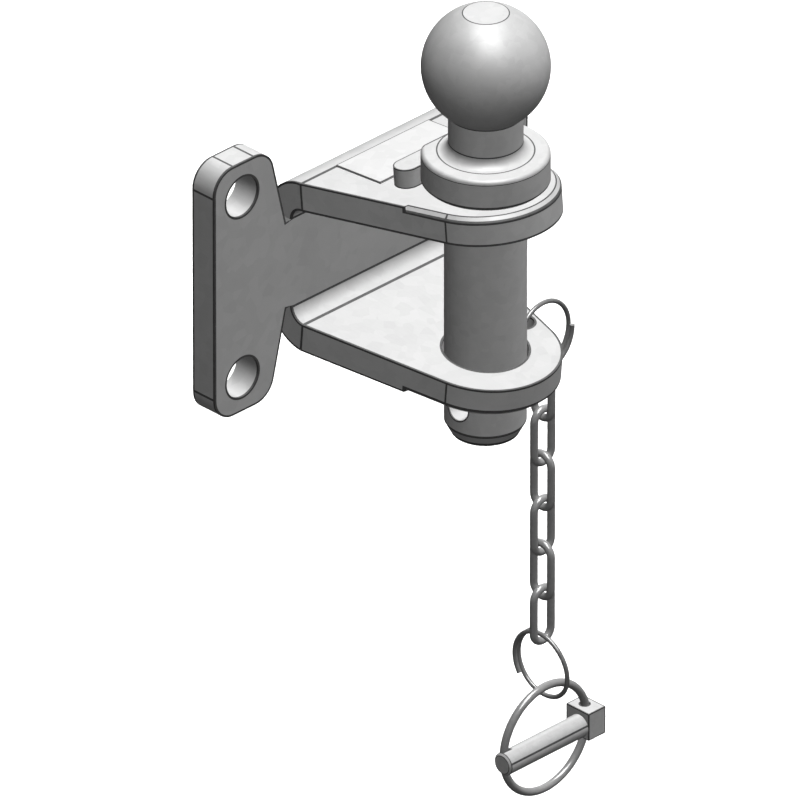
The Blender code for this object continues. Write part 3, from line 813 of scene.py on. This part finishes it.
def makeLinchPin(hang):
    d = linch
    stubTurn = math.asin((d["headZ"] / 2 + d["wire"] / 4) / d["ringRadius"])
    reach = d["ringRadius"] * math.cos(stubTurn)
    centreZ = d["ringHang"] - math.sqrt(d["ringRadius"] ** 2 - d["ringSide"] ** 2)
    outline = [(reach, d["headZ"] / 2 - d["stub"])]
    outline += arc((0, 0), d["ringRadius"], stubTurn, 2 * math.pi - stubTurn, d["ringSteps"])
    outline += [(reach, d["stub"] - d["headZ"] / 2)]
    path = [hang + Vector((x + d["ringSide"], 0, z + centreZ)) for x, z in outline]
    mesh = treeMesh("linchSpringRing", pathObject("linchRingPath", path), wireTree, {
        "Wire diameter": d["wire"], "Sides": d["sides"], "Finish": finishes["wire"]})
    fitted("linchSpringRing", mesh, "linch_ring_body", "linch_ring")

    pivot = hang + Vector((reach + d["ringSide"], 0, centreZ))
    shankR = d["shank"] / 2
    tipR = shankR - d["tipChamfer"]
    wireR = d["wire"] / 2
    notchOut = -reach - d["ringRadius"] - wireR - d["seatGap"]
    notchIn = d["notchPlay"] - reach - math.sqrt((d["ringRadius"] - wireR) ** 2 - (shankR + d["shankDrop"]) ** 2)
    tip = notchOut - d["tipWall"]
    end = d["headX"] / 3 - d["hingeIn"]
    points = [(0, tip), (tipR, tip), (shankR, tip + d["tipChamfer"]), (shankR, end), (0, end)]
    profile = softenedProfile(points, 0.0002)
    place = Matrix.Translation(pivot + Vector((0, -d["shankForward"], -d["shankDrop"])))
    pin = turnedPiece("linchBlank", profile, 72, place @ Matrix.Rotation(math.pi / 2, 4, "Y"), ("linch", "edge"))
    # a dark stripe painted along the shank about 21 degrees above the front: painted shade, the dark band where the
    # light from above gives way to the light from the front
    for face in pin.data.polygons:
        away = face.center - place.translation
        rise = math.degrees(math.atan2(away.z, -away.y))
        if abs(face.normal.x) < 0.1 and abs(rise - d["shadeStripeAt"]) < d["shadeStripeHalf"]:
            face.material_index = 1
    left, front = -d["hingeIn"], -d["shankForward"] - shankR - d["headLip"]
    right, back = left + d["headX"], front + d["headY"]
    outline = [(left, front), (right, front), (right, back), (left, back)]
    head = extruded("linchHead", outline, -d["headZ"] / 2, d["headZ"] / 2, Matrix.Translation(pivot), ("linch", "edge"))
    combine(pin, head, "UNION")
    bore = wireR + d["hingeGap"]
    ends = [(0, -d["headZ"], False), (bore, -d["headZ"], False), (bore, d["headZ"], False), (0, d["headZ"], False)]
    hinge = turnedPiece("linchHinge", ends, 40, Matrix.Translation(pivot), ("linch", "edge"))
    combine(pin, hinge, "DIFFERENCE")
    lineEdges(pin, d["edgeWidth"], 50)
    seat = -wireR - d["seatGap"]
    outline = [(notchOut, seat), (notchIn, seat), (notchIn, d["shank"]), (notchOut, d["shank"])]
    notch = extruded("linchNotch", outline, -d["headZ"], d["headZ"], Matrix.Translation(pivot), ("linch", "edge"))
    combine(pin, notch, "DIFFERENCE")
    mesh = plainMesh(pin, "linchPinForging")
    clearTools(pin, head, hinge, notch)
    fitted("linchPinForging", mesh, "linch_pin_body", "linch_pin")


makeBracket()
print("bracket")
makeBallPin()
print("ball pin")
makeStopBar()
makeTypePlate()
print("stop bar and type plate")
makeLinchPin(makeChain())
print("chain, rings and linch pin")


# Studio: pale floor, soft light from above and from the front right, long lens
studio = {
    "floorZ": -0.262, "floorHalf": 12.0, "aim": (-0.03947, -0.06711, -0.03988), "azimuth": -44.85, "elevation": 30.17,
    "frameWidth": 0.30711, "lens": 1600.0, "skyTop": 0.10, "skySide": 0.05, "skyFloor": 0.10,
    "lightDistance": 5.0, "lightSize": 3.0,
    # name, where it comes from, watts, and what it gives: light on matt surfaces, shine, or both
    "lights": (
        ("topLight", (0.05, 0.0, 1.0), 255.0, "matt shine"), ("keyLight", (-0.18, -0.40, 0.91), 158.0, "matt shine"),
        ("rightTopLight", (0.60, -0.20, 0.75), 268.0, "matt"), ("cameraSideLight", (-0.66, -0.68, 0.15), 44.0, "matt"),
        ("backShine", (0.61, 0.61, 0.50), 52.0, "shine"), ("backFill", (0.75, 0.65, 0.10), 100.0, "matt"),
    ),
}


def softLight(name, source, power, gives):
    data = bpy.data.lights.new(name, "AREA")
    data.shape = "DISK"
    data.size = studio["lightSize"]
    data.energy = power
    data.use_shadow = False
    made = bpy.data.objects.new(name, data)
    made.visible_diffuse, made.visible_glossy = "matt" in gives, "shine" in gives
    bpy.context.scene.collection.objects.link(made)
    source = Vector(source).normalized()
    made.location = Vector(studio["aim"]) + source * studio["lightDistance"]
    made.rotation_euler = source.to_track_quat("Z", "Y").to_euler()


def makeStudio():
    scene = bpy.context.scene
    half, z = studio["floorHalf"], studio["floorZ"]
    bm = bmesh.new()
    bm.faces.new([bm.verts.new((x, y, z)) for x, y in ((-half, -half), (half, -half), (half, half), (-half, half))])
    mesh = bpy.data.meshes.new("floor")
    bm.to_mesh(mesh)
    bm.free()
    material, bench, shader = newFinish("paleFloor")
    bench.feed(shader.inputs["Base Color"], toneMix(bench, noise(bench, 6.0), grey(0.86), grey(0.90)))
    shader.inputs["Roughness"].default_value = 0.9
    mesh.materials.append(material)
    floor = bpy.data.objects.new("floor", mesh)
    scene.collection.objects.link(floor)
    floor.visible_diffuse = False
    floor.visible_glossy = False

    world = bpy.data.worlds.new("studioSky")
    scene.world = world
    world.use_nodes = True
    sky = Bench(world.node_tree)
    height = sky.node("ShaderNodeSeparateXYZ", None, {0: sky.node("ShaderNodeTexCoord", output="Generated")}, "Z")
    above = sky.node("ShaderNodeMapRange", {"interpolation_type": "SMOOTHSTEP"}, {
        "Value": height, "To Min": 0.0, "To Max": studio["skyTop"] - studio["skySide"]})
    below = sky.node("ShaderNodeMapRange", {"interpolation_type": "SMOOTHSTEP"}, {
        "Value": height, "From Min": 0.0, "From Max": -1.0, "To Min": 0.0,
        "To Max": studio["skyFloor"] - studio["skySide"]})
    seen = sky.node("ShaderNodeLightPath", output="Is Camera Ray")
    strength = seen + (1 - seen) * (above + below + studio["skySide"])
    back = world.node_tree.nodes["Background"]
    back.inputs["Color"].default_value = grey(1.0)
    sky.feed(back.inputs["Strength"], strength)

    for light in studio["lights"]:
        softLight(*light)

    lens = bpy.data.cameras.new("camera")
    lens.lens = studio["lens"]
    lens.sensor_width = 36
    camera = bpy.data.objects.new("camera", lens)
    scene.collection.objects.link(camera)
    turn, rise = math.radians(studio["azimuth"]), math.radians(studio["elevation"])
    away = Vector((math.sin(turn) * math.cos(rise), -math.cos(turn) * math.cos(rise), math.sin(rise)))
    distance = studio["frameWidth"] * studio["lens"] / lens.sensor_width
    camera.location = Vector(studio["aim"]) + away * distance
    camera.rotation_mode = "QUATERNION"
    camera.rotation_quaternion = (-away).to_track_quat("-Z", "Y")
    lens.clip_start, lens.clip_end = 0.1, 3 * distance
    scene.camera = camera
    scene.view_settings.view_transform = "Standard"


makeStudio()
print("studio")
